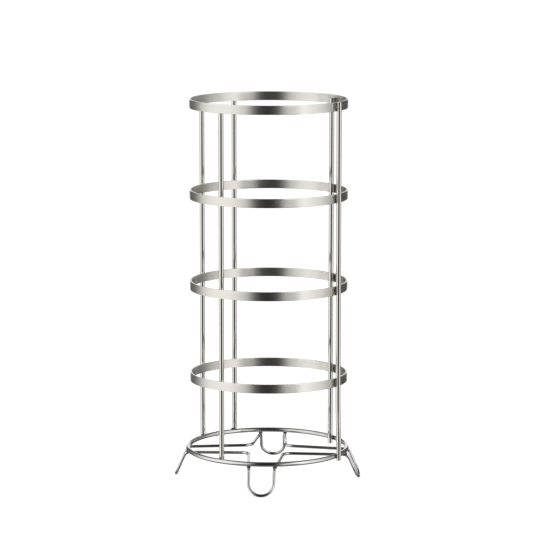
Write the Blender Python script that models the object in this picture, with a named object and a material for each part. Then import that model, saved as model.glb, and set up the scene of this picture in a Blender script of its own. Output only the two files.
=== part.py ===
"""Umbrella stand of stainless band, rod and wire.

Four flat band hoops are welded to five upright rods.  The rods stand on a base ring of round wire,
and four bent wire feet cross under the ring and splay out to the floor.

Units are metres and +Z is up.  The origin is on the floor at the centre of the feet, and the front
foot points along -Y.  Azimuths are in degrees, from the front (-Y) round towards +X.
"""

import math

import bmesh
import bpy
from mathutils import Matrix, Vector

MM = 0.001

# Clearance left between two pieces that touch.
GAP = 0.3 * MM

# Flat band hoops.
HOOP_OUTER_RADIUS = 95.0 * MM
HOOP_THICKNESS = 2.0 * MM
HOOP_HEIGHT = 10.7 * MM
HOOP_TOPS = {
    "hoop_top": 461.0 * MM,
    "hoop_upper": 352.0 * MM,
    "hoop_lower": 242.0 * MM,
    "hoop_bottom": 130.0 * MM,
}
HOOP_STEPS = 96
# The lowest hoop was welded on a little askew: its front is higher than its back.
HOOP_TILTS = {"hoop_bottom": math.radians(1.06)}

# The hoops and rods stand a little to the right of the base's centre.
CAGE_CENTRE = Vector((1.5 * MM, 0.0))

# Base ring.
RING_RADIUS = 96.4 * MM
RING_WIRE_RADIUS = 2.75 * MM
RING_HEIGHT = 36.0 * MM
RING_STEPS = 96

# Upright rods.
ROD_RADIUS = 3.0 * MM
OUTSIDE_RADIUS = HOOP_OUTER_RADIUS + GAP + ROD_RADIUS
INSIDE_RADIUS = HOOP_OUTER_RADIUS - HOOP_THICKNESS - GAP - ROD_RADIUS
ROD_TOP_STEP = 1.2 * MM
ROD_ON_RING = RING_HEIGHT + RING_WIRE_RADIUS + GAP
ROD_PAST_RING = 30.2 * MM
SPRUNG_ROD_BOTTOM = 32.0 * MM
ROD_INSIDE_RING = RING_HEIGHT - RING_WIRE_RADIUS
SPRING_TOP = 111.0 * MM
SPRING_BOTTOM = 43.0 * MM
SPRING_STEPS = 8
SPRING_AZIMUTH = 20.0

# Foot wires.
FOOT_WIRE_RADIUS = 1.8 * MM
FOOT_LEVEL = RING_HEIGHT - RING_WIRE_RADIUS - GAP - FOOT_WIRE_RADIUS
FOOT_TURNS = {"foot_front": 0, "foot_right": 1, "foot_back": 2, "foot_left": 3}
CROSS_HALF_WIDTH = 21.0 * MM
CROSS_RISE = 1.6 * MM
LEG_HALF_WIDTH_AT_RING = 15.4 * MM
CORNER_BEND_RADIUS = 10.0 * MM
CORNER_STEPS = 7
DROP_START = 94.3 * MM
SIDE_DROP_START = 93.1 * MM
DROP_BEND_RADIUS = 8.0 * MM
DROP_STEPS = 6
SPLAY = math.radians(23.5)
SIDE_SPLAY = math.radians(24.2)
TOE_RADIUS = 15.0 * MM
# The back foot's toe is bent a little tighter, and off its centreline towards the stand's left.
BACK_TOE_RADIUS = 14.4 * MM
BACK_TOE_OFFSET = 0.7 * MM
TOE_STEPS = 14

# Fineness of the round sections: a bevel resolution of 4 gives twelve sides.
ROD_BEVEL = 5
RING_BEVEL = 4
FOOT_BEVEL = 3

SATIN_STEEL = {"colour": (0.62, 0.61, 0.59, 1.0), "roughness": 0.32}
WIRE_STEEL = {"colour": (0.60, 0.60, 0.60, 1.0), "roughness": 0.18}


def clear_scene():
    """Remove every object of the open file."""
    for obj in list(bpy.data.objects):
        bpy.data.objects.remove(obj, do_unlink=True)


def steel(name, look):
    """A Principled BSDF steel with the given colour and roughness."""
    material = bpy.data.materials.new(name)
    material.use_nodes = True
    shader = material.node_tree.nodes["Principled BSDF"]
    shader.inputs["Base Color"].default_value = look["colour"]
    shader.inputs["Roughness"].default_value = look["roughness"]
    shader.inputs["Metallic"].default_value = 1.0
    material.diffuse_color = look["colour"]
    return material


def add_object(name, data, look):
    """Link an object with its own material to the scene."""
    data.materials.append(steel(name + "_steel", look))
    obj = bpy.data.objects.new(name, data)
    bpy.context.scene.collection.objects.link(obj)
    return obj


def plan_point(radius, azimuth):
    """A point in plan, at an azimuth in degrees from -Y towards +X."""
    turn = math.radians(azimuth)
    return Vector((radius * math.sin(turn), -radius * math.cos(turn)))


def wire(name, points, radius, bevel, look, closed=False):
    """A round wire along a list of points, with its ends capped."""
    curve = bpy.data.curves.new(name, "CURVE")
    curve.dimensions = "3D"
    curve.bevel_depth = radius
    curve.bevel_resolution = bevel
    curve.use_fill_caps = True
    curve.render_resolution_u = 0
    spline = curve.splines.new("POLY")
    spline.points.add(len(points) - 1)
    for spline_point, position in zip(spline.points, points):
        spline_point.co = (*position, 1.0)
    spline.use_cyclic_u = closed
    spline.use_smooth = True
    return add_object(name, curve, look)


def band_hoop(name, top):
    """A flat band bent to a circle, turned from its rectangular section."""
    outer = HOOP_OUTER_RADIUS
    inner = HOOP_OUTER_RADIUS - HOOP_THICKNESS
    half = HOOP_HEIGHT / 2.0
    section = ((outer, half), (outer, -half), (inner, -half), (inner, half))
    mesh = bpy.data.meshes.new(name)
    shape = bmesh.new()
    corners = [shape.verts.new((radius, 0.0, height)) for radius, height in section]
    edges = [shape.edges.new((corners[i], corners[(i + 1) % 4])) for i in range(4)]
    bmesh.ops.spin(
        shape,
        geom=corners + edges,
        cent=(0.0, 0.0, 0.0),
        axis=(0.0, 0.0, 1.0),
        angle=math.tau,
        steps=HOOP_STEPS,
        use_merge=True,
    )
    bmesh.ops.recalc_face_normals(shape, faces=shape.faces)
    shape.to_mesh(mesh)
    shape.free()
    mesh.shade_smooth()
    mesh.set_sharp_from_angle(angle=math.radians(40.0))
    hoop = add_object(name, mesh, SATIN_STEEL)
    hoop.location = (CAGE_CENTRE.x, CAGE_CENTRE.y, top - half)
    hoop.rotation_euler.x = -HOOP_TILTS.get(name, 0.0)
    return hoop


def base_ring():
    """The round wire ring that the rods and feet are welded to."""
    points = []
    for step in range(RING_STEPS):
        plan = plan_point(RING_RADIUS, 360.0 * step / RING_STEPS)
        points.append(Vector((plan.x, plan.y, RING_HEIGHT)))
    return wire("base_ring", points, RING_WIRE_RADIUS, RING_BEVEL, WIRE_STEEL, closed=True)


def rod(name, top, bottom, top_radius, bottom_radius, azimuth):
    """A straight upright rod, placed by its distance from the hoops' axis at its two ends."""
    head = CAGE_CENTRE + plan_point(top_radius, azimuth)
    foot = CAGE_CENTRE + plan_point(bottom_radius, azimuth)
    points = [Vector((head.x, head.y, top)), Vector((foot.x, foot.y, bottom))]
    return wire(name, points, ROD_RADIUS, ROD_BEVEL, SATIN_STEEL)


def sprung_rod(name, top, bottom, azimuth):
    """A rod outside the hoops whose lower end is sprung forwards to pass outside the base ring."""
    stand = CAGE_CENTRE + plan_point(OUTSIDE_RADIUS, azimuth)
    forwards = plan_point(1.0, SPRING_AZIMUTH)
    clear = RING_RADIUS + RING_WIRE_RADIUS + GAP + ROD_RADIUS
    along = stand.dot(forwards)
    push = math.sqrt(clear ** 2 - stand.length_squared + along ** 2) - along
    stations = [(top, 0.0)]
    for step in range(SPRING_STEPS + 1):
        part = step / SPRING_STEPS
        height = SPRING_TOP + (SPRING_BOTTOM - SPRING_TOP) * part
        ease = 0.5 - 0.5 * math.cos(math.pi * part)
        stations.append((height, push * ease))
    stations.append((bottom, push))
    points = []
    for height, out in stations:
        plan = stand + forwards * out
        points.append(Vector((plan.x, plan.y, height)))
    return wire(name, points, ROD_RADIUS, ROD_BEVEL, SATIN_STEEL)


def arc(centre, first, second, sweep, steps):
    """Points on an arc: centre + first * cos(t) + second * sin(t), for t from 0 to sweep."""
    angles = [sweep * step / steps for step in range(steps + 1)]
    return [centre + first * math.cos(t) + second * math.sin(t) for t in angles]


def raised(point):
    """The point, lifted towards the middle of the cross, where the legs stand a little higher."""
    reach = max(abs(point.x), abs(point.y))
    part = (DROP_START - reach) / (DROP_START - CROSS_HALF_WIDTH)
    return point + Vector((0.0, 0.0, CROSS_RISE * part))


def cross_corner(with_bend):
    """The inner end of a leg, as points from the joint outwards, in the foot's own frame.

    The foot points along -Y here and the leg is the one at +X.  Legs of neighbouring feet meet at
    the corner of the cross.  A side foot's leg takes the whole bend, and a front or back foot's
    leg is straight and starts where its neighbour's bend ends.
    """
    corner = Vector((CROSS_HALF_WIDTH, -CROSS_HALF_WIDTH, FOOT_LEVEL))
    narrowing = LEG_HALF_WIDTH_AT_RING - CROSS_HALF_WIDTH
    own = Vector((narrowing, CROSS_HALF_WIDTH - RING_RADIUS, 0.0)).normalized()
    neighbour = Vector((-own.y, -own.x, 0.0))
    half_opening = own.angle(neighbour) / 2.0
    tangent = CORNER_BEND_RADIUS / math.tan(half_opening)
    if not with_bend:
        return [raised(corner + own * (tangent + GAP))]
    middle = (own + neighbour).normalized()
    centre = corner + middle * (CORNER_BEND_RADIUS / math.sin(half_opening))
    first = (corner + neighbour * tangent - centre)
    last = (corner + own * tangent - centre)
    sweep = first.angle(last)
    across = (last - first * math.cos(sweep)) / math.sin(sweep)
    return [raised(point) for point in arc(centre, first, across, sweep, CORNER_STEPS)]


def foot_leg(side, quarter_turns, splay, toe_radius, toe_offset):
    """One leg of a foot that points along -Y, from the cross, under the ring, to the top of the toe."""
    is_side_foot = quarter_turns % 2 == 1
    drop_start = SIDE_DROP_START if is_side_foot else DROP_START
    slope = (LEG_HALF_WIDTH_AT_RING - CROSS_HALF_WIDTH) / (RING_RADIUS - CROSS_HALF_WIDTH)
    start = side * (CROSS_HALF_WIDTH + slope * (drop_start - CROSS_HALF_WIDTH))
    end = side * toe_radius + toe_offset
    centre = Vector((0.0, -drop_start, FOOT_LEVEL - DROP_BEND_RADIUS))
    upward = Vector((0.0, 0.0, DROP_BEND_RADIUS))
    outward = Vector((0.0, -DROP_BEND_RADIUS, 0.0))
    points = [Vector((side * point.x, point.y, point.z)) for point in cross_corner(is_side_foot)]
    for step, position in enumerate(arc(centre, upward, outward, math.pi / 2.0 - splay, DROP_STEPS)):
        position.x = start + (end - start) * step / DROP_STEPS
        points.append(position)
    down = Vector((0.0, -math.sin(splay), -math.cos(splay)))
    drop = points[-1].z - FOOT_WIRE_RADIUS
    points.append(points[-1] + down * (drop / math.cos(splay) - toe_radius))
    return points


def foot(name, quarter_turns):
    """A hairpin of wire: two legs under the ring and a round toe on the floor."""
    splay = SIDE_SPLAY if quarter_turns % 2 == 1 else SPLAY
    toe_radius = BACK_TOE_RADIUS if name == "foot_back" else TOE_RADIUS
    toe_offset = BACK_TOE_OFFSET if name == "foot_back" else 0.0
    right_leg = foot_leg(1.0, quarter_turns, splay, toe_radius, toe_offset)
    left_leg = foot_leg(-1.0, quarter_turns, splay, toe_radius, toe_offset)
    down = Vector((0.0, -math.sin(splay), -math.cos(splay)))
    toe_centre = (right_leg[-1] + left_leg[-1]) / 2.0
    toe = arc(toe_centre, Vector((toe_radius, 0.0, 0.0)), down * toe_radius, math.pi, TOE_STEPS)
    points = right_leg + toe[1:-1] + left_leg[::-1]
    turned = Matrix.Rotation(quarter_turns * math.pi / 2.0, 3, "Z")
    return wire(name, [turned @ point for point in points], FOOT_WIRE_RADIUS, FOOT_BEVEL, WIRE_STEEL)


def build():
    clear_scene()
    for name, top in HOOP_TOPS.items():
        band_hoop(name, top)
    base_ring()
    crown = HOOP_TOPS["hoop_top"]
    below = crown - ROD_TOP_STEP
    rod("rod_back_left", below, ROD_ON_RING, OUTSIDE_RADIUS, OUTSIDE_RADIUS, 239.8)
    rod("rod_back", below, ROD_ON_RING, OUTSIDE_RADIUS, OUTSIDE_RADIUS, 209.7)
    rod("rod_front_left", below, ROD_INSIDE_RING, INSIDE_RADIUS, INSIDE_RADIUS, 325.5)
    rod("rod_back_right", crown - 3.5 * MM, ROD_PAST_RING, INSIDE_RADIUS, 88.9 * MM, 125.4)
    sprung_rod("rod_front_right", crown, SPRUNG_ROD_BOTTOM, 61.4)
    for name, quarter_turns in FOOT_TURNS.items():
        foot(name, quarter_turns)


build()
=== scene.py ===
import math

import bmesh
import bpy
from mathutils import Matrix, Vector, noise


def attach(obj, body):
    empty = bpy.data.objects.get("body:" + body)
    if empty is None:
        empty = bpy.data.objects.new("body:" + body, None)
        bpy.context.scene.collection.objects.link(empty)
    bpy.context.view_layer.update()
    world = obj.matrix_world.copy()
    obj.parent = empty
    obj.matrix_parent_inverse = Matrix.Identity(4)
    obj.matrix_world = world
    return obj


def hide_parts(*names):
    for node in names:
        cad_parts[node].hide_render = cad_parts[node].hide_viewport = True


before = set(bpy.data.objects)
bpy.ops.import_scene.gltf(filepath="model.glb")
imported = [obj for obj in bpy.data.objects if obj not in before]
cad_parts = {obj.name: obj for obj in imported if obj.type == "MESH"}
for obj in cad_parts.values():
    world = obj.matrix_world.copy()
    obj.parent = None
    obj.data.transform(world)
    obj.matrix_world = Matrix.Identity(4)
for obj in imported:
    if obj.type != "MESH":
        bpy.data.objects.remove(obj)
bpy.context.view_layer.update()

# Umbrella stand of brushed stainless band, rod and wire: the finished surfaces over the CAD frame.
# Units are metres, +Z is up and the front foot points along -Y.  Azimuths are in degrees, from the
# front (-Y) round towards +X, as in the CAD source.

MM = 0.001
UP = Vector((0.0, 0.0, 1.0))

# Sizes of the CAD frame.
GAP = 0.3 * MM
CAGE_CENTRE = Vector((1.5 * MM, 0.0, 0.0))
HOOP_OUTER_RADIUS = 95.0 * MM
HOOP_THICKNESS = 2.0 * MM
HOOP_HEIGHT = 10.7 * MM
HOOP_TOPS = {
    "hoop_top": 461.0 * MM,
    "hoop_upper": 352.0 * MM,
    "hoop_lower": 242.0 * MM,
    "hoop_bottom": 130.0 * MM,
}
# The lowest hoop was welded on a little askew: its front is higher than its back.
HOOP_TILTS = {"hoop_bottom": math.radians(1.06)}
RING_RADIUS = 96.4 * MM
RING_WIRE_RADIUS = 2.75 * MM
RING_HEIGHT = 36.0 * MM
ROD_RADIUS = 3.0 * MM
ROD_TOP_STEP = 1.2 * MM
OUTSIDE_RADIUS = HOOP_OUTER_RADIUS + GAP + ROD_RADIUS
INSIDE_RADIUS = HOOP_OUTER_RADIUS - HOOP_THICKNESS - GAP - ROD_RADIUS
ROD_ON_RING = RING_HEIGHT + RING_WIRE_RADIUS + GAP
ROD_PAST_RING = 30.2 * MM
ROD_INSIDE_RING = RING_HEIGHT - RING_WIRE_RADIUS
# The front right rod is sprung forwards between these two heights, on its way to its lower end.
SPRING_TOP = 111.0 * MM
SPRING_BOTTOM = 43.0 * MM
SPRUNG_ROD_BOTTOM = 32.0 * MM
FOOT_WIRE_RADIUS = 1.8 * MM
FOOT_LEVEL = RING_HEIGHT - RING_WIRE_RADIUS - GAP - FOOT_WIRE_RADIUS
FOOT_TURNS = {"foot_front": 0, "foot_right": 1, "foot_back": 2, "foot_left": 3}
CROSS_HALF_WIDTH = 21.0 * MM
CROSS_RISE = 1.6 * MM
LEG_HALF_WIDTH_AT_RING = 15.4 * MM
CORNER_BEND_RADIUS = 10.0 * MM
DROP_START = 94.3 * MM
SIDE_DROP_START = 93.1 * MM
DROP_BEND_RADIUS = 8.0 * MM
SPLAY = math.radians(23.5)
SIDE_SPLAY = math.radians(24.2)
TOE_RADIUS = 15.0 * MM
# The back foot's toe is bent a little tighter, and sits off centre towards the stand's left.
BACK_TOE_RADIUS = 14.4 * MM
BACK_TOE_OFFSET = 0.7 * MM

# Straight rods: azimuth, top, bottom, and distance from the hoops' axis at the top and the bottom.
CROWN = HOOP_TOPS["hoop_top"]
BELOW_CROWN = CROWN - ROD_TOP_STEP
STRAIGHT_RODS = {
    "rod_back_left": (239.8, BELOW_CROWN, ROD_ON_RING, OUTSIDE_RADIUS, OUTSIDE_RADIUS),
    "rod_back": (209.7, BELOW_CROWN, ROD_ON_RING, OUTSIDE_RADIUS, OUTSIDE_RADIUS),
    "rod_front_left": (325.5, BELOW_CROWN, ROD_INSIDE_RING, INSIDE_RADIUS, INSIDE_RADIUS),
    "rod_back_right": (125.4, CROWN - 3.5 * MM, ROD_PAST_RING, INSIDE_RADIUS, 88.9 * MM),
}
# The front right rod's azimuth, and the direction in which its lower end is sprung.
SPRUNG_ROD_AZIMUTH = 61.4
SPRING_AZIMUTH = 20.0
# How far each weld on the base ring is to one side of its rod, towards rising azimuth.
RING_WELD_OFFSETS = {
    "rod_back_left": -0.4 * MM,
    "rod_back": 1.4 * MM,
    "rod_front_left": 0.9 * MM,
    "rod_back_right": 0.0,
    "rod_front_right": 0.0,
}

# Fineness of the visible meshes.
HOOP_STEPS = 240
RING_STEPS = 288
ROD_SIDES = 32
RING_SIDES = 28
FOOT_SIDES = 20
EDGE_STEPS = 4
CORNER_STEPS = 18
DROP_STEPS = 16
TOE_STEPS = 40
SPRING_STEPS = 24
ROD_SPACING = 40.0 * MM
FOOT_SPACING = 12.0 * MM
BEAD_ROWS = 14
BEAD_SIDES = 20
# Edges that turn by more than these angles, in degrees, are drawn sharp.
WIRE_SMOOTH = 35.0
BAND_SMOOTH = 50.0
WELD_SMOOTH = 180.0

# Edge treatment.  Wear runs from 0 to 1, and 1 is an edge polished bright by use.
BAND_EDGE_RADIUS = 0.32 * MM
ROD_CHAMFER = 0.45 * MM
WIRE_CHAMFER = 0.25 * MM
CHAMFER_WEAR = 0.6
# Two more rows of points on each broad face of a band, at these shares of its height, keep the
# wear by its edges.
WEAR_ROWS = (0.08, 0.92)

# Butt seams, as azimuths: one where each hoop's two ends meet, one in the base ring.
HOOP_SEAM = 88.0
RING_SEAM = 224.5
SEAM_REACH = 4.0 * MM
SEAM_STEPS = 16
# A dressed seam is a low bead between two shallow grooves, whose depth is a share of its height.
BAND_SEAM_HEIGHT = 0.05 * MM
RING_SEAM_HEIGHT = 0.30 * MM
SEAM_BEAD_WIDTH = 0.9 * MM
GROOVE_PLACE = 1.9 * MM
GROOVE_WIDTH = 0.45 * MM
GROOVE_DEPTH = 0.45
# Each hoop was ground by hand on both sides of its seam: fully to the first distance, and less
# and less out to the second.
GROUND_FULL = 32.0 * MM
GROUND_FADE = 46.0 * MM

# Weld beads.  A bead's three radii are around the stand, outwards and up.
HOOP_BEAD = (1.0 * MM, 0.6 * MM, 3.8 * MM)
ROD_END_BEAD = (3.6 * MM, 2.9 * MM, 1.7 * MM)
ROD_END_BEAD_OUT = 0.6 * MM
ROD_END_BEAD_DOWN = 0.2 * MM
ROD_SIDE_BEAD = (3.5 * MM, 1.5 * MM, 2.3 * MM)
ROD_SIDE_BEAD_UP = 0.3 * MM
LEG_BEAD = (2.3 * MM, 2.4 * MM, 1.9 * MM)
LEG_BEAD_OUT = 0.4 * MM
LEG_BEAD_UP = 0.9 * MM
# A butt joint's bead is this much thicker than the wire, and reaches this far to both sides.
BUTT_BEAD_SWELL = 1.13
BUTT_BEAD_REACH = 1.1 * MM
# A bead's lumps and ripples: their height as a share of its radius, and how closely they follow.
LUMP_HEIGHT = 0.16
LUMP_SCALE = 1.7
RIPPLE_HEIGHT = 0.035
RIPPLE_SCALE = 9.0
# Each bead has its own number, which moves it this far through the noise that shapes its lumps.
LUMP_SHIFT = (7.3, 3.1)
FIRST_HOOP_BEAD = 1
FIRST_RING_BEAD = 41
FIRST_FOOT_BEAD = 71

# Marks in the steel.  Scales are in repeats per metre, ranges are the part of the noise that
# shows, and shades multiply the steel's colour.  Roughnesses add to the steel's own, but the
# grain's is a share of it.
GRAIN_ROUGHNESS = 0.3
GRAIN_RELIEF = 0.6
STREAK_RELIEF = 1.4
CLOUD_SCALE = (38.0, 38.0, 26.0)
SPECK_SCALE = (900.0, 900.0, 500.0)
SPECK_RANGE = (0.66, 0.78)
SPECK_SHADE = 0.93
SPECK_ROUGHNESS = 0.12
# The grinder's strokes slant across the band: their angle from its length, then their scale
# across and along them.
SCORE_SLANT = math.radians(28.0)
SCORE_LINES = (620.0, 90.0, 1.0)
SCORE_RANGE = (0.40, 0.62)
SCORE_SHADE = 0.32
SCORE_ROUGHNESS = 0.08
# Worn edges are brighter by the first of these, mixed in by the second, and smoother by a share.
WORN_BRIGHTNESS = 1.12
WORN_SHARE = 0.7
WORN_POLISH = 0.35
LEAST_ROUGHNESS = 0.05
# Each hoop reads its own stretch of the grain, this many times its height along the map.
GRAIN_SHIFT = 9.7
# Heat tint and pits in the weld metal.
TINT_SCALE = (420.0, 420.0, 420.0)
TINT_RANGE = (0.4, 0.6)
PIT_SCALE = (2600.0, 2600.0, 2600.0)
PIT_ROUGHNESS = (0.28, 0.52)
PIT_DEPTH = 0.05 * MM

# Camera, fitted so that the stand fills the frame as it does in the reference view.  Angles are in
# degrees, and the lens and sensor in millimetres.
CAMERA_DISTANCE = 3.162
CAMERA_HEIGHT = 0.7504
CAMERA_AZIMUTH = 4.0
CAMERA_PITCH = 8.853
CAMERA_YAW = 0.047
CAMERA_LENS = 179.36
CAMERA_REACH = 60.0
SENSOR_WIDTH = 36.0


def plan_point(radius, azimuth, height=0.0):
    """A point at an azimuth in degrees from -Y towards +X."""
    turn = math.radians(azimuth)
    return Vector((radius * math.sin(turn), -radius * math.cos(turn), height))


# ---------------------------------------------------------------------------------------- meshes


def add_mesh(name, shape, material):
    """Turn a bmesh into a smooth-shaded object in the scene."""
    bmesh.ops.recalc_face_normals(shape, faces=shape.faces)
    mesh = bpy.data.meshes.new(name)
    shape.to_mesh(mesh)
    shape.free()
    mesh.shade_smooth()
    mesh.materials.append(material)
    made = bpy.data.objects.new(name, mesh)
    bpy.context.scene.collection.objects.link(made)
    return made


def add_piece(name, shape, material, node, smooth_angle):
    """Turn a bmesh into a piece that rides on the stand and stands for its CAD node, if it has one."""
    piece = add_mesh(name, shape, material)
    piece.data.set_sharp_from_angle(angle=math.radians(smooth_angle))
    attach(piece, "root")
    if node is not None:
        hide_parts(node)


def new_shape():
    """An empty bmesh with the layers that the steel materials read."""
    shape = bmesh.new()
    shape.loops.layers.uv.new("grain")
    shape.verts.layers.float.new("wear")
    shape.verts.layers.float.new("ground")
    return shape


def seam_stations(radius, steps):
    """Distances along a circle from its seam and back to it, closer together beside the seam."""
    length = math.tau * radius
    near = [SEAM_REACH * step / SEAM_STEPS for step in range(SEAM_STEPS + 1)]
    inner = length - 2.0 * SEAM_REACH
    far = [SEAM_REACH + inner * step / steps for step in range(1, steps)]
    return near + far + [length - distance for distance in near[:0:-1]]


def seam_swell(distance, length, height):
    """How far a dressed butt weld stands proud at a distance along a circle from the seam."""
    from_seam = min(distance, length - distance)
    bead = math.exp(-(from_seam / SEAM_BEAD_WIDTH) ** 2)
    groove = math.exp(-((from_seam - GROOVE_PLACE) / GROOVE_WIDTH) ** 2)
    return height * (bead - GROOVE_DEPTH * groove)


def loft(shape, rings, closed, lengths, around, wear):
    """Skin a list of vertex rings, with a grain map and an edge-wear value on each vertex.

    The map's first coordinate runs across the grain, around the section, and its second runs
    along it.  Both are in metres.
    """
    uv = shape.loops.layers.uv["grain"]
    worn = shape.verts.layers.float["wear"]
    for ring, value in zip(rings, wear):
        for k, vert in enumerate(ring):
            vert[worn] = value[k] if isinstance(value, (list, tuple)) else value
    sides = len(rings[0])
    count = len(rings)
    for i in range(count if closed else count - 1):
        j = (i + 1) % count
        for k in range(sides):
            m = (k + 1) % sides
            face = shape.faces.new((rings[i][k], rings[j][k], rings[j][m], rings[i][m]))
            corners = ((k, i), (k, i + 1), (k + 1, i + 1), (k + 1, i))
            for loop, (a, b) in zip(face.loops, corners):
                loop[uv].uv = (around[a], lengths[b])
    return uv


def path_frames(points, closed):
    """Unit tangents along a path, and a normal carried along it without twist."""
    count = len(points)
    tangents = []
    for i in range(count):
        before = points[(i - 1) % count] if closed or i > 0 else points[i]
        after = points[(i + 1) % count] if closed or i < count - 1 else points[i]
        tangents.append((after - before).normalized())
    is_upright = abs(tangents[0].dot(UP)) > 0.9
    start = Vector((1.0, 0.0, 0.0)) if is_upright else UP
    normal = (start - tangents[0] * start.dot(tangents[0])).normalized()
    normals = [normal]
    for i in range(1, count):
        turn = tangents[i - 1].rotation_difference(tangents[i])
        normal = turn @ normal
        normal = (normal - tangents[i] * normal.dot(tangents[i])).normalized()
        normals.append(normal)
    return tangents, normals


def round_wire(name, points, radius, sides, material, chamfer=0.0, closed=False, swell=()):
    """A round wire along points.  Open ends are chamfered, and swell adds to the radius at points."""
    shape = new_shape()
    tangents, normals = path_frames(points, closed)
    stations = []
    for i, point in enumerate(points):
        extra = swell[i] if swell else 0.0
        stations.append((point, i, radius + extra, 0.0))
    if not closed:
        last = len(points) - 1
        stations[0] = (points[0] + tangents[0] * chamfer, 0, radius, CHAMFER_WEAR)
        stations[last] = (points[last] - tangents[last] * chamfer, last, radius, CHAMFER_WEAR)
        stations.insert(0, (points[0], 0, radius - chamfer, 1.0))
        stations.append((points[last], last, radius - chamfer, 1.0))
    rings = []
    lengths = [0.0]
    for s, (centre, i, r, _) in enumerate(stations):
        side = tangents[i].cross(normals[i])
        ring = []
        for k in range(sides):
            turn = math.tau * k / sides
            spoke = normals[i] * math.cos(turn) + side * math.sin(turn)
            ring.append(shape.verts.new(centre + spoke * r))
        rings.append(ring)
        if s:
            lengths.append(lengths[-1] + (centre - stations[s - 1][0]).length)
    if closed:
        lengths.append(lengths[-1] + (points[0] - points[-1]).length)
    around = [math.tau * radius * k / sides for k in range(sides + 1)]
    uv = loft(shape, rings, closed, lengths, around, [s[3] for s in stations])
    if not closed:
        for ring, reverse in ((rings[0], True), (rings[-1], False)):
            cap = shape.faces.new(ring[::-1] if reverse else ring)
            for k, loop in enumerate(cap.loops):
                turn = math.tau * k / sides
                loop[uv].uv = (radius * math.cos(turn), radius * math.sin(turn))
    add_piece(name + "_steel", shape, material, name, WIRE_SMOOTH)


def band_section():
    """The band's section with eased edges: (radius, height from the top edge, wear) points."""
    outer = HOOP_OUTER_RADIUS
    inner = HOOP_OUTER_RADIUS - HOOP_THICKNESS
    ease = BAND_EDGE_RADIUS
    corners = (
        (outer - ease, -ease, 0.0),
        (inner + ease, -ease, 90.0),
        (inner + ease, -HOOP_HEIGHT + ease, 180.0),
        (outer - ease, -HOOP_HEIGHT + ease, 270.0),
    )
    section = []
    for radius, height, start in corners:
        for step in range(EDGE_STEPS + 1):
            turn = math.radians(start + 90.0 * step / EDGE_STEPS)
            section.append((radius + ease * math.cos(turn), height + ease * math.sin(turn), 1.0))
    ordered = []
    for i, point in enumerate(section):
        ordered.append(point)
        following = section[(i + 1) % len(section)]
        crosses_broad_face = abs(following[1] - point[1]) > HOOP_HEIGHT / 2.0
        if crosses_broad_face:
            for part in WEAR_ROWS:
                height = point[1] + (following[1] - point[1]) * part
                ordered.append((point[0], height, 0.0))
    return ordered


def band_hoop(name, top, material):
    """A band bent to a circle, with a dressed butt seam across it and ground marks beside it."""
    section = band_section()
    shape = new_shape()
    around = [0.0]
    for i in range(len(section)):
        a, b = section[i], section[(i + 1) % len(section)]
        around.append(around[-1] + math.hypot(b[0] - a[0], b[1] - a[1]))
    length = math.tau * HOOP_OUTER_RADIUS
    lengths = seam_stations(HOOP_OUTER_RADIUS, HOOP_STEPS) + [length]
    tilted = Matrix.Rotation(-HOOP_TILTS.get(name, 0.0), 3, "X")
    middle = CAGE_CENTRE + Vector((0.0, 0.0, top - HOOP_HEIGHT / 2.0))
    mid_radius = HOOP_OUTER_RADIUS - HOOP_THICKNESS / 2.0
    ground = shape.verts.layers.float["ground"]
    rings = []
    for distance in lengths[:-1]:
        azimuth = HOOP_SEAM + 360.0 * distance / length
        proud = seam_swell(distance, length, BAND_SEAM_HEIGHT)
        from_seam = min(distance, length - distance)
        faded = (from_seam - GROUND_FULL) / (GROUND_FADE - GROUND_FULL)
        worked = 1.0 - min(1.0, max(0.0, faded))
        ring = []
        for radius, height, _ in section:
            outwards = proud if radius > mid_radius else -proud
            place = plan_point(radius + outwards, azimuth, height + HOOP_HEIGHT / 2.0)
            vert = shape.verts.new(middle + tilted @ place)
            vert[ground] = worked
            ring.append(vert)
        rings.append(ring)
    wear = [[point[2] for point in section]] * len(rings)
    along = [top * GRAIN_SHIFT + distance for distance in lengths]
    loft(shape, rings, True, along, around, wear)
    add_piece(name + "_band", shape, material, name, BAND_SMOOTH)


# ------------------------------------------------------------------------------------ wire paths


def arc(centre, first, second, sweep, steps):
    """Points on an arc: centre + first * cos(t) + second * sin(t), for t from 0 to sweep."""
    angles = [sweep * step / steps for step in range(steps + 1)]
    return [centre + first * math.cos(t) + second * math.sin(t) for t in angles]


def raised(point):
    """The point, lifted towards the middle of the cross, where the legs stand a little higher."""
    reach = max(abs(point.x), abs(point.y))
    part = (DROP_START - reach) / (DROP_START - CROSS_HALF_WIDTH)
    return point + Vector((0.0, 0.0, CROSS_RISE * part))


def leg_direction():
    """Unit direction from the cross to the ring, for the +X leg of a foot that points along -Y."""
    narrowing = LEG_HALF_WIDTH_AT_RING - CROSS_HALF_WIDTH
    return Vector((narrowing, CROSS_HALF_WIDTH - RING_RADIUS, 0.0)).normalized()


def cross_corner(with_bend):
    """The inner end of that leg, from its joint outwards.  Only the side feet's legs have the bend."""
    corner = Vector((CROSS_HALF_WIDTH, -CROSS_HALF_WIDTH, FOOT_LEVEL))
    own = leg_direction()
    neighbour = Vector((-own.y, -own.x, 0.0))
    half_opening = own.angle(neighbour) / 2.0
    tangent = CORNER_BEND_RADIUS / math.tan(half_opening)
    if not with_bend:
        return [raised(corner + own * (tangent + GAP))]
    middle = (own + neighbour).normalized()
    centre = corner + middle * (CORNER_BEND_RADIUS / math.sin(half_opening))
    first = corner + neighbour * tangent - centre
    last = corner + own * tangent - centre
    sweep = first.angle(last)
    across = (last - first * math.cos(sweep)) / math.sin(sweep)
    return [raised(point) for point in arc(centre, first, across, sweep, CORNER_STEPS)]


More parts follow.
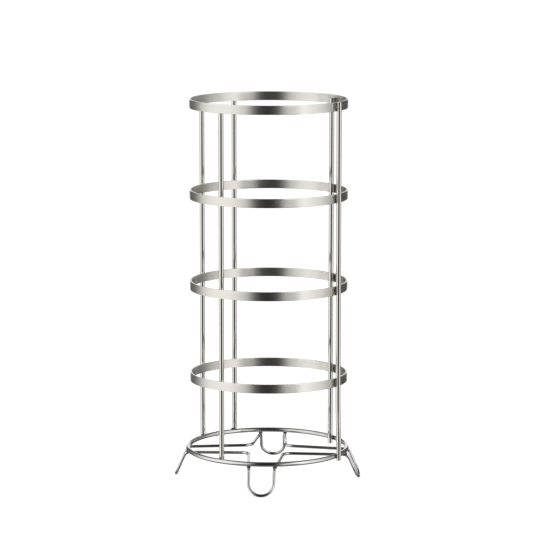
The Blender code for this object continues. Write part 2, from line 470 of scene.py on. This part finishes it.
def foot_leg(side, quarter_turns, splay, toe_radius, toe_offset):
    """One leg of a foot that points along -Y, from the cross to the top of the toe."""
    is_side_foot = quarter_turns % 2 == 1
    drop_start = SIDE_DROP_START if is_side_foot else DROP_START
    slope = (LEG_HALF_WIDTH_AT_RING - CROSS_HALF_WIDTH) / (RING_RADIUS - CROSS_HALF_WIDTH)
    start = side * (CROSS_HALF_WIDTH + slope * (drop_start - CROSS_HALF_WIDTH))
    end = side * toe_radius + toe_offset
    centre = Vector((0.0, -drop_start, FOOT_LEVEL - DROP_BEND_RADIUS))
    upward = Vector((0.0, 0.0, DROP_BEND_RADIUS))
    outward = Vector((0.0, -DROP_BEND_RADIUS, 0.0))
    bend = arc(centre, upward, outward, math.pi / 2.0 - splay, DROP_STEPS)
    for step, position in enumerate(bend):
        position.x = start + (end - start) * step / DROP_STEPS
    points = [Vector((side * point.x, point.y, point.z)) for point in cross_corner(is_side_foot)]
    points += bend
    down = Vector((0.0, -math.sin(splay), -math.cos(splay)))
    drop = points[-1].z - FOOT_WIRE_RADIUS
    points.append(points[-1] + down * (drop / math.cos(splay) - toe_radius))
    return points


def foot_path(name, quarter_turns):
    """The centreline of one foot: two legs under the ring and a round toe on the floor."""
    splay = SIDE_SPLAY if quarter_turns % 2 == 1 else SPLAY
    toe_radius = BACK_TOE_RADIUS if name == "foot_back" else TOE_RADIUS
    toe_offset = BACK_TOE_OFFSET if name == "foot_back" else 0.0
    right_leg = foot_leg(1.0, quarter_turns, splay, toe_radius, toe_offset)
    left_leg = foot_leg(-1.0, quarter_turns, splay, toe_radius, toe_offset)
    down = Vector((0.0, -math.sin(splay), -math.cos(splay)))
    toe_centre = (right_leg[-1] + left_leg[-1]) / 2.0
    toe = arc(toe_centre, Vector((toe_radius, 0.0, 0.0)), down * toe_radius, math.pi, TOE_STEPS)
    points = right_leg + toe[1:-1] + left_leg[::-1]
    turned = Matrix.Rotation(quarter_turns * math.pi / 2.0, 3, "Z")
    return [turned @ point for point in points]


def straight_rod_ends(azimuth, top, bottom, top_radius, bottom_radius):
    """The two ends of a straight rod's centreline, top first."""
    head = CAGE_CENTRE + plan_point(top_radius, azimuth, top)
    foot = CAGE_CENTRE + plan_point(bottom_radius, azimuth, bottom)
    return head, foot


def sprung_rod_path():
    """The front right rod's centreline: its lower end is sprung forwards, to pass outside the ring."""
    stand = CAGE_CENTRE + plan_point(OUTSIDE_RADIUS, SPRUNG_ROD_AZIMUTH)
    forwards = plan_point(1.0, SPRING_AZIMUTH)
    clear = RING_RADIUS + RING_WIRE_RADIUS + GAP + ROD_RADIUS
    along = stand.dot(forwards)
    push = math.sqrt(clear ** 2 - stand.length_squared + along ** 2) - along
    stations = [(CROWN, 0.0)]
    for step in range(SPRING_STEPS + 1):
        part = step / SPRING_STEPS
        height = SPRING_TOP + (SPRING_BOTTOM - SPRING_TOP) * part
        stations.append((height, push * (0.5 - 0.5 * math.cos(math.pi * part))))
    stations.append((SPRUNG_ROD_BOTTOM, push))
    return [stand + forwards * out + Vector((0.0, 0.0, height)) for height, out in stations]


def subdivided(points, spacing):
    """The same path with more points, no further apart than spacing."""
    finer = [points[0]]
    for a, b in zip(points, points[1:]):
        parts = max(1, math.ceil((b - a).length / spacing))
        finer += [a.lerp(b, part / parts) for part in range(1, parts + 1)]
    return finer


# ----------------------------------------------------------------------------------------- welds


def weld_bead(shape, centre, axes, radii, number):
    """One lump of weld metal: a rounded form with uneven, rippled sides."""
    sides = BEAD_SIDES
    shift = Vector((number * LUMP_SHIFT[0], number * LUMP_SHIFT[1], 0.0))
    poles = []
    rings = []
    for row in range(BEAD_ROWS + 1):
        tilt = math.pi * row / BEAD_ROWS
        across = math.sin(tilt)
        ring = []
        for k in range(sides):
            turn = math.tau * k / sides
            unit = Vector((across * math.cos(turn), across * math.sin(turn), math.cos(tilt)))
            lump = 1.0 + LUMP_HEIGHT * noise.noise(unit * LUMP_SCALE + shift)
            ripple = 1.0 + RIPPLE_HEIGHT * math.sin(RIPPLE_SCALE * unit.z + number)
            local = Vector((unit.x * radii[0], unit.y * radii[1], unit.z * radii[2])) * lump * ripple
            place = centre + axes[0] * local.x + axes[1] * local.y + axes[2] * local.z
            if row in (0, BEAD_ROWS):
                poles.append(shape.verts.new(place))
                break
            ring.append(shape.verts.new(place))
        if ring:
            rings.append(ring)
    for a, b in zip(rings, rings[1:]):
        for k in range(sides):
            shape.faces.new((a[k], b[k], b[(k + 1) % sides], a[(k + 1) % sides]))
    for k in range(sides):
        shape.faces.new((poles[0], rings[0][k], rings[0][(k + 1) % sides]))
        shape.faces.new((poles[1], rings[-1][(k + 1) % sides], rings[-1][k]))


def contact_axes(azimuth):
    """Unit directions at an azimuth: around the stand, outwards, and up."""
    outward = plan_point(1.0, azimuth)
    return UP.cross(outward), outward, UP


def rod_azimuths():
    """Each rod's azimuth, and whether it stands outside the hoops."""
    found = {}
    for name, (azimuth, _, _, radius, _) in STRAIGHT_RODS.items():
        found[name] = (azimuth, radius > HOOP_OUTER_RADIUS)
    found["rod_front_right"] = (SPRUNG_ROD_AZIMUTH, True)
    return found


def hoop_welds(material):
    """The small resistance welds that join each rod to each hoop along their line of contact."""
    shape = new_shape()
    number = FIRST_HOOP_BEAD
    for azimuth, outside in rod_azimuths().values():
        around, outward, up = contact_axes(azimuth)
        face = HOOP_OUTER_RADIUS if outside else HOOP_OUTER_RADIUS - HOOP_THICKNESS
        for name, top in HOOP_TOPS.items():
            middle = CAGE_CENTRE + outward * face + up * (top - HOOP_HEIGHT / 2.0)
            middle.z -= middle.y * math.tan(HOOP_TILTS.get(name, 0.0))
            weld_bead(shape, middle, (around, outward, up), HOOP_BEAD, number)
            number += 1
    add_piece("welds_on_hoops", shape, material, None, WELD_SMOOTH)


def ring_welds(material):
    """The welds between the rods' lower ends and the base ring."""
    shape = new_shape()
    number = FIRST_RING_BEAD
    for name, (_, outside) in rod_azimuths().items():
        if name == "rod_front_right":
            foot = sprung_rod_path()[-1]
        else:
            foot = straight_rod_ends(*STRAIGHT_RODS[name])[1]
        own_azimuth = math.degrees(math.atan2(foot.x, -foot.y))
        around, outward, up = contact_axes(own_azimuth)
        if foot.z > RING_HEIGHT:
            radius = RING_RADIUS + ROD_END_BEAD_OUT
            height = ROD_ON_RING - ROD_END_BEAD_DOWN
            radii = ROD_END_BEAD
        else:
            radius = RING_RADIUS + (1.0 if outside else -1.0) * RING_WIRE_RADIUS
            height = RING_HEIGHT + ROD_SIDE_BEAD_UP
            radii = ROD_SIDE_BEAD
        place = plan_point(radius, own_azimuth, height) + around * RING_WELD_OFFSETS[name]
        # Each bead at a rod's foot takes the dark weld colour: heat tint and painted contact shade where
        # the rod meets the ring.
        weld_bead(shape, place, (around, outward, up), radii, number)
        number += 1
    add_piece("welds_on_ring", shape, material, None, WELD_SMOOTH)


def foot_welds(material):
    """The welds where each leg crosses under the ring, and the butt joints inside the cross."""
    shape = new_shape()
    number = FIRST_FOOT_BEAD
    crossing = math.sqrt(RING_RADIUS ** 2 - LEG_HALF_WIDTH_AT_RING ** 2)
    joint = cross_corner(with_bend=False)[0]
    along = leg_direction()
    butt_radius = FOOT_WIRE_RADIUS * BUTT_BEAD_SWELL
    butt_radii = (butt_radius, butt_radius, BUTT_BEAD_REACH)
    for turns in FOOT_TURNS.values():
        turned = Matrix.Rotation(turns * math.pi / 2.0, 3, "Z")
        axes = (turned @ Vector((1.0, 0.0, 0.0)), turned @ Vector((0.0, 1.0, 0.0)), UP)
        for side in (1.0, -1.0):
            across = side * LEG_HALF_WIDTH_AT_RING
            # The bead under each crossing takes the dark weld colour: heat tint and painted shade under
            # the ring.
            under = Vector((across, -crossing - LEG_BEAD_OUT, FOOT_LEVEL + LEG_BEAD_UP))
            weld_bead(shape, turned @ under, axes, LEG_BEAD, number)
            number += 1
            has_butt_joint = turns % 2 == 0
            if has_butt_joint:
                lead = turned @ Vector((side * along.x, along.y, 0.0))
                centre = turned @ Vector((side * joint.x, joint.y, joint.z))
                weld_bead(shape, centre, (lead.cross(UP), UP, lead), butt_radii, number)
                number += 1
    add_piece("welds_on_feet", shape, material, None, WELD_SMOOTH)


# ------------------------------------------------------------------------------------- materials


class Nodes:
    """Short calls for building a node tree."""

    def __init__(self, tree):
        self.tree = tree

    def add(self, kind, **values):
        node = self.tree.nodes.new(kind)
        for name, value in values.items():
            setattr(node, name, value)
        return node

    def link(self, output, socket):
        self.tree.links.new(output, socket)

    def math(self, operation, a, b=0.0, c=0.0):
        node = self.add("ShaderNodeMath", operation=operation)
        for socket, value in zip(node.inputs, (a, b, c)):
            self.feed(socket, value)
        return node.outputs[0]

    def feed(self, socket, value):
        if isinstance(value, bpy.types.NodeSocket):
            self.link(value, socket)
        else:
            socket.default_value = value

    def spread(self, value, low, high):
        """Map 0 to 1 onto low to high."""
        return self.math("MULTIPLY_ADD", value, high - low, low)

    def texture(self, coordinates, scale, detail=3.0, roughness=0.55):
        """A noise value around 0.5, with the coordinates stretched by scale."""
        mapping = self.add("ShaderNodeMapping")
        self.link(coordinates, mapping.inputs["Vector"])
        mapping.inputs["Scale"].default_value = scale
        node = self.add("ShaderNodeTexNoise", noise_dimensions="3D")
        node.inputs["Scale"].default_value = 1.0
        node.inputs["Detail"].default_value = detail
        node.inputs["Roughness"].default_value = roughness
        self.link(mapping.outputs["Vector"], node.inputs["Vector"])
        return node.outputs["Fac"]

    def contrast(self, value, low, high):
        """Stretch low..high to 0..1, smoothly and clamped."""
        node = self.add("ShaderNodeMapRange", interpolation_type="SMOOTHSTEP")
        self.link(value, node.inputs["Value"])
        node.inputs["From Min"].default_value = low
        node.inputs["From Max"].default_value = high
        return node.outputs["Result"]

    def mix(self, factor, a, b):
        node = self.add("ShaderNodeMix", data_type="RGBA")
        self.feed(node.inputs["Factor"], factor)
        self.feed(node.inputs["A"], a)
        self.feed(node.inputs["B"], b)
        return node.outputs["Result"]


def new_material(name):
    material = bpy.data.materials.new(name)
    material.use_nodes = True
    nodes = Nodes(material.node_tree)
    return material, nodes, material.node_tree.nodes["Principled BSDF"]


def drawn_steel(name, colour, roughness, anisotropic, grain, streaks, marks, bump):
    """Stainless steel with a directional grain.

    grain and streaks are (lines per metre across, lines per metre along, strength).  marks is the
    strength of the cloudy patches that handling leaves.
    """
    material, nodes, shader = new_material(name)
    grain_map = nodes.add("ShaderNodeUVMap", uv_map="grain").outputs["UV"]
    solid = nodes.add("ShaderNodeTexCoord").outputs["Object"]
    fine = nodes.texture(grain_map, (grain[0], grain[1], 1.0), detail=4.0, roughness=0.65)
    broad = nodes.texture(grain_map, (streaks[0], streaks[1], 1.0), detail=3.0, roughness=0.6)
    cloud = nodes.texture(solid, CLOUD_SCALE, detail=3.0)
    speck = nodes.contrast(nodes.texture(solid, SPECK_SCALE, detail=2.0), *SPECK_RANGE)
    wear = nodes.add("ShaderNodeAttribute", attribute_name="wear").outputs["Fac"]
    ground = nodes.add("ShaderNodeAttribute", attribute_name="ground").outputs["Fac"]
    slanted = nodes.add("ShaderNodeMapping")
    nodes.link(grain_map, slanted.inputs["Vector"])
    slanted.inputs["Rotation"].default_value = (0.0, 0.0, SCORE_SLANT)
    strokes = nodes.texture(slanted.outputs["Vector"], SCORE_LINES, detail=4.0, roughness=0.7)
    scored = nodes.math("MULTIPLY", ground, nodes.contrast(strokes, *SCORE_RANGE))

    shade = nodes.spread(broad, 1.0 - streaks[2], 1.0 + streaks[2])
    shade = nodes.math("MULTIPLY", shade, nodes.spread(fine, 1.0 - grain[2], 1.0 + grain[2]))
    shade = nodes.math("MULTIPLY", shade, nodes.spread(cloud, 1.0 - marks * 0.5, 1.0 + marks * 0.5))
    shade = nodes.math("MULTIPLY", shade, nodes.spread(speck, 1.0, SPECK_SHADE))
    shade = nodes.math("MULTIPLY", shade, nodes.spread(scored, 1.0, SCORE_SHADE))
    shaded = nodes.mix(shade, (0.0, 0.0, 0.0, 1.0), (*colour, 1.0))
    worn_colour = tuple(min(1.0, channel * WORN_BRIGHTNESS) for channel in colour)
    worn = nodes.mix(nodes.math("MULTIPLY", wear, WORN_SHARE), shaded, (*worn_colour, 1.0))
    nodes.link(worn, shader.inputs["Base Color"])

    swing = GRAIN_ROUGHNESS * roughness
    rough = nodes.math("ADD", nodes.spread(fine, -swing, swing), roughness)
    rough = nodes.math("ADD", rough, nodes.spread(cloud, -marks, marks))
    rough = nodes.math("ADD", rough, nodes.math("MULTIPLY", speck, SPECK_ROUGHNESS))
    rough = nodes.math("ADD", rough, nodes.math("MULTIPLY", scored, SCORE_ROUGHNESS))
    rough = nodes.math("SUBTRACT", rough, nodes.math("MULTIPLY", wear, roughness * WORN_POLISH))
    nodes.link(nodes.math("MAXIMUM", rough, LEAST_ROUGHNESS), shader.inputs["Roughness"])

    streak_height = nodes.math("MULTIPLY", broad, STREAK_RELIEF)
    height = nodes.math("MULTIPLY_ADD", fine, GRAIN_RELIEF, streak_height)
    relief = nodes.add("ShaderNodeBump")
    relief.inputs["Strength"].default_value = 1.0
    relief.inputs["Distance"].default_value = bump
    nodes.link(height, relief.inputs["Height"])
    nodes.link(relief.outputs["Normal"], shader.inputs["Normal"])

    tangent = nodes.add("ShaderNodeTangent", direction_type="UV_MAP", uv_map="grain")
    nodes.link(tangent.outputs["Tangent"], shader.inputs["Tangent"])
    shader.inputs["Metallic"].default_value = 1.0
    shader.inputs["Anisotropic"].default_value = anisotropic
    return material


def weld_metal(name, straw, blue_grey):
    """Bare weld metal: duller than the steel, with straw and blue-grey heat tint; where the two colours
    given are dark, they also hold painted shade.
    """
    material, nodes, shader = new_material(name)
    solid = nodes.add("ShaderNodeTexCoord").outputs["Object"]
    tint = nodes.texture(solid, TINT_SCALE, detail=3.0)
    pits = nodes.texture(solid, PIT_SCALE, detail=2.0)
    heat_tint_and_shade = nodes.mix(nodes.contrast(tint, *TINT_RANGE), (*straw, 1.0), (*blue_grey, 1.0))
    nodes.link(heat_tint_and_shade, shader.inputs["Base Color"])
    nodes.link(nodes.spread(pits, *PIT_ROUGHNESS), shader.inputs["Roughness"])
    relief = nodes.add("ShaderNodeBump")
    relief.inputs["Distance"].default_value = PIT_DEPTH
    nodes.link(pits, relief.inputs["Height"])
    nodes.link(relief.outputs["Normal"], shader.inputs["Normal"])
    shader.inputs["Metallic"].default_value = 1.0
    return material


# -------------------------------------------------------------------------------- the whole stand


def build_hoops():
    """The four band hoops."""
    band = drawn_steel(
        "brushed_band", colour=(0.71, 0.69, 0.655), roughness=0.30, anisotropic=0.75,
        grain=(5200.0, 45.0, 0.05), streaks=(1100.0, 11.0, 0.06), marks=0.03, bump=0.012 * MM,
    )
    for name, top in HOOP_TOPS.items():
        band_hoop(name, top, band)


def build_rods():
    """The five upright rods."""
    rod = drawn_steel(
        "drawn_rod", colour=(0.68, 0.664, 0.628), roughness=0.10, anisotropic=0.3,
        grain=(4200.0, 60.0, 0.04), streaks=(900.0, 9.0, 0.05), marks=0.02, bump=0.002 * MM,
    )
    paths = {name: list(straight_rod_ends(*values)) for name, values in STRAIGHT_RODS.items()}
    paths["rod_front_right"] = sprung_rod_path()
    for name, path in paths.items():
        finer = subdivided(path, ROD_SPACING)
        round_wire(name, finer, ROD_RADIUS, ROD_SIDES, rod, ROD_CHAMFER)


def build_ring():
    """The base ring: a round wire bent to a circle, with its butt seam at the back left."""
    ring = drawn_steel(
        "polished_ring", colour=(0.69, 0.69, 0.68), roughness=0.08, anisotropic=0.2,
        grain=(3600.0, 70.0, 0.03), streaks=(800.0, 14.0, 0.04), marks=0.02, bump=0.002 * MM,
    )
    length = math.tau * RING_RADIUS
    stations = seam_stations(RING_RADIUS, RING_STEPS)
    path = [plan_point(RING_RADIUS, RING_SEAM + 360.0 * at / length, RING_HEIGHT) for at in stations]
    swell = [seam_swell(at, length, RING_SEAM_HEIGHT) for at in stations]
    round_wire("base_ring", path, RING_WIRE_RADIUS, RING_SIDES, ring,
               closed=True, swell=swell)


def build_feet():
    """The four foot wires."""
    foot = drawn_steel(
        "polished_foot", colour=(0.65, 0.65, 0.65), roughness=0.08, anisotropic=0.2,
        grain=(3600.0, 70.0, 0.03), streaks=(800.0, 14.0, 0.04), marks=0.02, bump=0.002 * MM,
    )
    for name, turns in FOOT_TURNS.items():
        path = subdivided(foot_path(name, turns), FOOT_SPACING)
        round_wire(name, path, FOOT_WIRE_RADIUS, FOOT_SIDES, foot, WIRE_CHAMFER)


def build_welds():
    """Bright spots of weld on the hoops, and darker beads at the base, whose dark colour is partly heat
    tint and partly painted shade where the rods and legs meet the ring.
    """
    # The dark set of weld colours is heat tint and painted contact shade at the base ring; the bright
    # set is the same weld metal without the painted shade.
    heat_tint_and_shade = weld_metal("weld_metal", (0.17, 0.14, 0.11), (0.08, 0.085, 0.10))
    bright = weld_metal("bright_weld_metal", (0.62, 0.59, 0.54), (0.52, 0.53, 0.55))
    hoop_welds(bright)
    ring_welds(heat_tint_and_shade)
    foot_welds(heat_tint_and_shade)


# -------------------------------------------------------------------------------------- the studio


# The floor is flat out to the last of these radii, then curves up into a wall.
FLOOR_RADII = (0.0, 0.5, 2.0, 9.0)
FLOOR_CURVE = 3.0
FLOOR_CURVE_STEPS = 12
FLOOR_SPIN_STEPS = 72
WALL_TOP = 9.0
FLOOR_TONES = ((0.50, 0.50, 0.50, 1.0), (0.53, 0.53, 0.53, 1.0))
FLOOR_EMISSION = 0.80


def build_floor():
    """A pale floor that curves up into a wall, seen by the camera but not by the steel."""
    material, nodes, shader = new_material("pale_floor")
    solid = nodes.add("ShaderNodeTexCoord").outputs["Object"]
    cloud = nodes.texture(solid, (1.5, 1.5, 1.5), detail=2.0)
    nodes.link(nodes.mix(cloud, *FLOOR_TONES), shader.inputs["Base Color"])
    shader.inputs["Roughness"].default_value = 0.9
    shader.inputs["Specular IOR Level"].default_value = 0.0
    shader.inputs["Emission Color"].default_value = (1.0, 1.0, 1.0, 1.0)
    shader.inputs["Emission Strength"].default_value = FLOOR_EMISSION
    shape = bmesh.new()
    flat = FLOOR_RADII[-1]
    profile = [(radius, 0.0) for radius in FLOOR_RADII]
    for step in range(1, FLOOR_CURVE_STEPS + 1):
        turn = math.pi / 2.0 * step / FLOOR_CURVE_STEPS
        profile.append((flat + FLOOR_CURVE * math.sin(turn), FLOOR_CURVE - FLOOR_CURVE * math.cos(turn)))
    profile.append((flat + FLOOR_CURVE, WALL_TOP))
    verts = [shape.verts.new((radius, 0.0, height)) for radius, height in profile]
    edges = [shape.edges.new(pair) for pair in zip(verts, verts[1:])]
    bmesh.ops.spin(shape, geom=verts + edges, cent=(0, 0, 0), axis=(0, 0, 1), angle=math.tau,
                   steps=FLOOR_SPIN_STEPS, use_merge=True)
    bmesh.ops.remove_doubles(shape, verts=shape.verts, dist=0.1 * MM)
    floor = add_mesh("studio_floor", shape, material)
    floor.visible_glossy = False
    floor.visible_diffuse = False
    floor.visible_shadow = False


# Azimuths in the studio are counted from CAMERA_AZIMUTH, and heights are sines of the elevation.
# Brightness of its walls by azimuth: dark beyond the open front of the light tent, white at its
# two sides, and dark again behind them.
STUDIO_WALLS = (
    (-180.0, 0.10), (-156.0, 0.12), (-136.0, 0.20), (-122.0, 0.48), (-102.0, 0.97), (-90.0, 1.08),
    (-57.0, 1.12), (-38.0, 1.00), (-29.0, 0.74), (-20.0, 0.24), (-8.0, 0.05), (5.0, 0.05),
    (12.0, 0.16), (21.0, 1.02), (30.0, 1.74), (42.0, 1.62), (60.0, 1.14), (83.0, 0.90),
    (91.0, 0.76), (101.0, 0.58), (112.0, 0.34), (122.0, 0.18), (152.0, 0.12), (180.0, 0.10),
)
WALL_STRENGTH = 1.08
# The walls are lit between two heights, with soft edges, and have the dark level beyond them.
WALL_FOOT = (-0.80, -0.45)
WALL_HEAD = (0.78, 0.95)
DARK_LEVEL = 0.06
# The white backdrop behind the stand fades out over each of these: how far behind the stand, its
# half-width, its top and its foot.
BACKDROP_DEPTH = (0.0, 0.1)
BACKDROP_SIDE = (0.20, 0.34)
BACKDROP_TOP = (0.25, 0.33)
BACKDROP_FOOT = (-0.28, -0.20)
# Dark bars round the tent's open front: the edge of the table below the stand, the table's wider
# front face under that edge, and the rim of the opening above.  Each is an azimuth for its centre,
# two angles from there between which it fades out, and four heights: dark from the second to the
# third, fading out to the first and the fourth.
DARK_BARS = (
    (11.0, (25.0, 44.0), (-0.32, -0.26, -0.09, 0.0)),
    (0.0, (38.0, 60.0), (-0.66, -0.60, -0.36, -0.28)),
    (11.0, (25.0, 44.0), (0.36, 0.46, 0.80, 0.95)),
)
BAR_DEPTH = 0.92
# The faint glow of the table under the stand, from straight down up to these heights.
FLOOR_EDGE = (-0.86, -0.66)
FLOOR_GLOW = 0.25
STUDIO_TINT = (1.0, 0.995, 0.985, 1.0)

LAMP_SIZE = 2.4
LAMP_POWER = 20.0
LAMP_PLACE = (0.0, 0.3, 3.2)


def studio_walls(nodes, azimuth, height):
    """Brightness of the walls in a direction."""
    turn_part = nodes.math("MULTIPLY_ADD", azimuth, 1.0 / math.tau, 0.5)
    ramp = nodes.add("ShaderNodeFloatCurve")
    curve = ramp.mapping.curves[0]
    top = max(value for _, value in STUDIO_WALLS)
    for i, (angle, value) in enumerate(STUDIO_WALLS):
        at = (angle / 360.0 + 0.5, value / top)
        if i < 2:
            curve.points[i].location = at
        else:
            curve.points.new(*at)
    ramp.mapping.update()
    nodes.link(turn_part, ramp.inputs["Value"])
    around = nodes.math("MULTIPLY", ramp.outputs["Value"], top * WALL_STRENGTH)
    above_foot = nodes.contrast(height, *WALL_FOOT)
    below_head = nodes.math("SUBTRACT", 1.0, nodes.contrast(height, *WALL_HEAD))
    lit = nodes.math("MULTIPLY", above_foot, below_head)
    return nodes.math("MULTIPLY_ADD", lit, nodes.math("SUBTRACT", around, DARK_LEVEL), DARK_LEVEL)


def studio_bars(nodes, azimuth, height):
    """How much light the dark bars leave, from 1 outside them down to nearly 0 inside."""
    left = 1.0
    for centre, edge, (bottom, full_from, full_to, top) in DARK_BARS:
        aside = nodes.math("ABSOLUTE", nodes.math("SUBTRACT", azimuth, math.radians(centre)))
        across = nodes.math("SUBTRACT", 1.0, nodes.contrast(aside, *map(math.radians, edge)))
        above = nodes.contrast(height, bottom, full_from)
        below = nodes.math("SUBTRACT", 1.0, nodes.contrast(height, full_to, top))
        bar = nodes.math("MULTIPLY", across, nodes.math("MULTIPLY", above, below))
        left = nodes.math("MULTIPLY", left, nodes.math("MULTIPLY_ADD", bar, -BAR_DEPTH, 1.0))
    return left


def studio_backdrop(nodes, split, height):
    """Brightness of the backdrop, straight behind the stand."""
    behind = nodes.contrast(split.outputs["Y"], *BACKDROP_DEPTH)
    aside = nodes.math("ABSOLUTE", split.outputs["X"])
    narrow = nodes.math("SUBTRACT", 1.0, nodes.contrast(aside, *BACKDROP_SIDE))
    low = nodes.math("SUBTRACT", 1.0, nodes.contrast(height, *BACKDROP_TOP))
    above = nodes.contrast(height, *BACKDROP_FOOT)
    across = nodes.math("MULTIPLY", behind, narrow)
    return nodes.math("MULTIPLY", across, nodes.math("MULTIPLY", low, above))


def build_light():
    """A soft studio all round, and one broad lamp overhead for the floor."""
    world = bpy.data.worlds.new("studio")
    bpy.context.scene.world = world
    world.use_nodes = True
    nodes = Nodes(world.node_tree)
    background = world.node_tree.nodes["Background"]
    direction = nodes.add("ShaderNodeTexCoord").outputs["Generated"]
    turn = nodes.add("ShaderNodeVectorRotate", rotation_type="Z_AXIS")
    nodes.link(direction, turn.inputs["Vector"])
    turn.inputs["Angle"].default_value = math.radians(-CAMERA_AZIMUTH)
    split = nodes.add("ShaderNodeSeparateXYZ")
    nodes.link(turn.outputs["Vector"], split.inputs["Vector"])
    height = split.outputs["Z"]
    towards_front = nodes.math("MULTIPLY", split.outputs["Y"], -1.0)
    azimuth = nodes.math("ARCTAN2", split.outputs["X"], towards_front)
    walls = studio_walls(nodes, azimuth, height)
    walls = nodes.math("MULTIPLY", walls, studio_bars(nodes, azimuth, height))
    below = nodes.math("SUBTRACT", 1.0, nodes.contrast(height, *FLOOR_EDGE))
    level = nodes.math("MAXIMUM", walls, studio_backdrop(nodes, split, height))
    level = nodes.math("MAXIMUM", level, nodes.math("MULTIPLY", below, FLOOR_GLOW))
    nodes.link(level, background.inputs["Strength"])
    background.inputs["Color"].default_value = STUDIO_TINT

    lamp = bpy.data.lights.new("overhead_softbox", "AREA")
    lamp.shape = "SQUARE"
    lamp.size = LAMP_SIZE
    lamp.energy = LAMP_POWER
    box = bpy.data.objects.new("overhead_softbox", lamp)
    bpy.context.scene.collection.objects.link(box)
    box.location = LAMP_PLACE
    box.visible_glossy = False


def build_camera():
    """The camera, a long lens a little above the stand and slightly to its right."""
    data = bpy.data.cameras.new("camera")
    data.sensor_width = SENSOR_WIDTH
    data.lens = CAMERA_LENS
    data.clip_end = CAMERA_REACH
    camera = bpy.data.objects.new("camera", data)
    bpy.context.scene.collection.objects.link(camera)
    camera.location = CAGE_CENTRE + plan_point(CAMERA_DISTANCE, CAMERA_AZIMUTH, CAMERA_HEIGHT)
    camera.rotation_euler = (
        math.radians(90.0 - CAMERA_PITCH),
        0.0,
        math.radians(CAMERA_AZIMUTH + CAMERA_YAW),
    )
    bpy.context.scene.camera = camera


build_hoops()
build_rods()
build_ring()
build_feet()
build_welds()
build_floor()
build_light()
build_camera()
bpy.context.scene.view_settings.view_transform = "Standard"
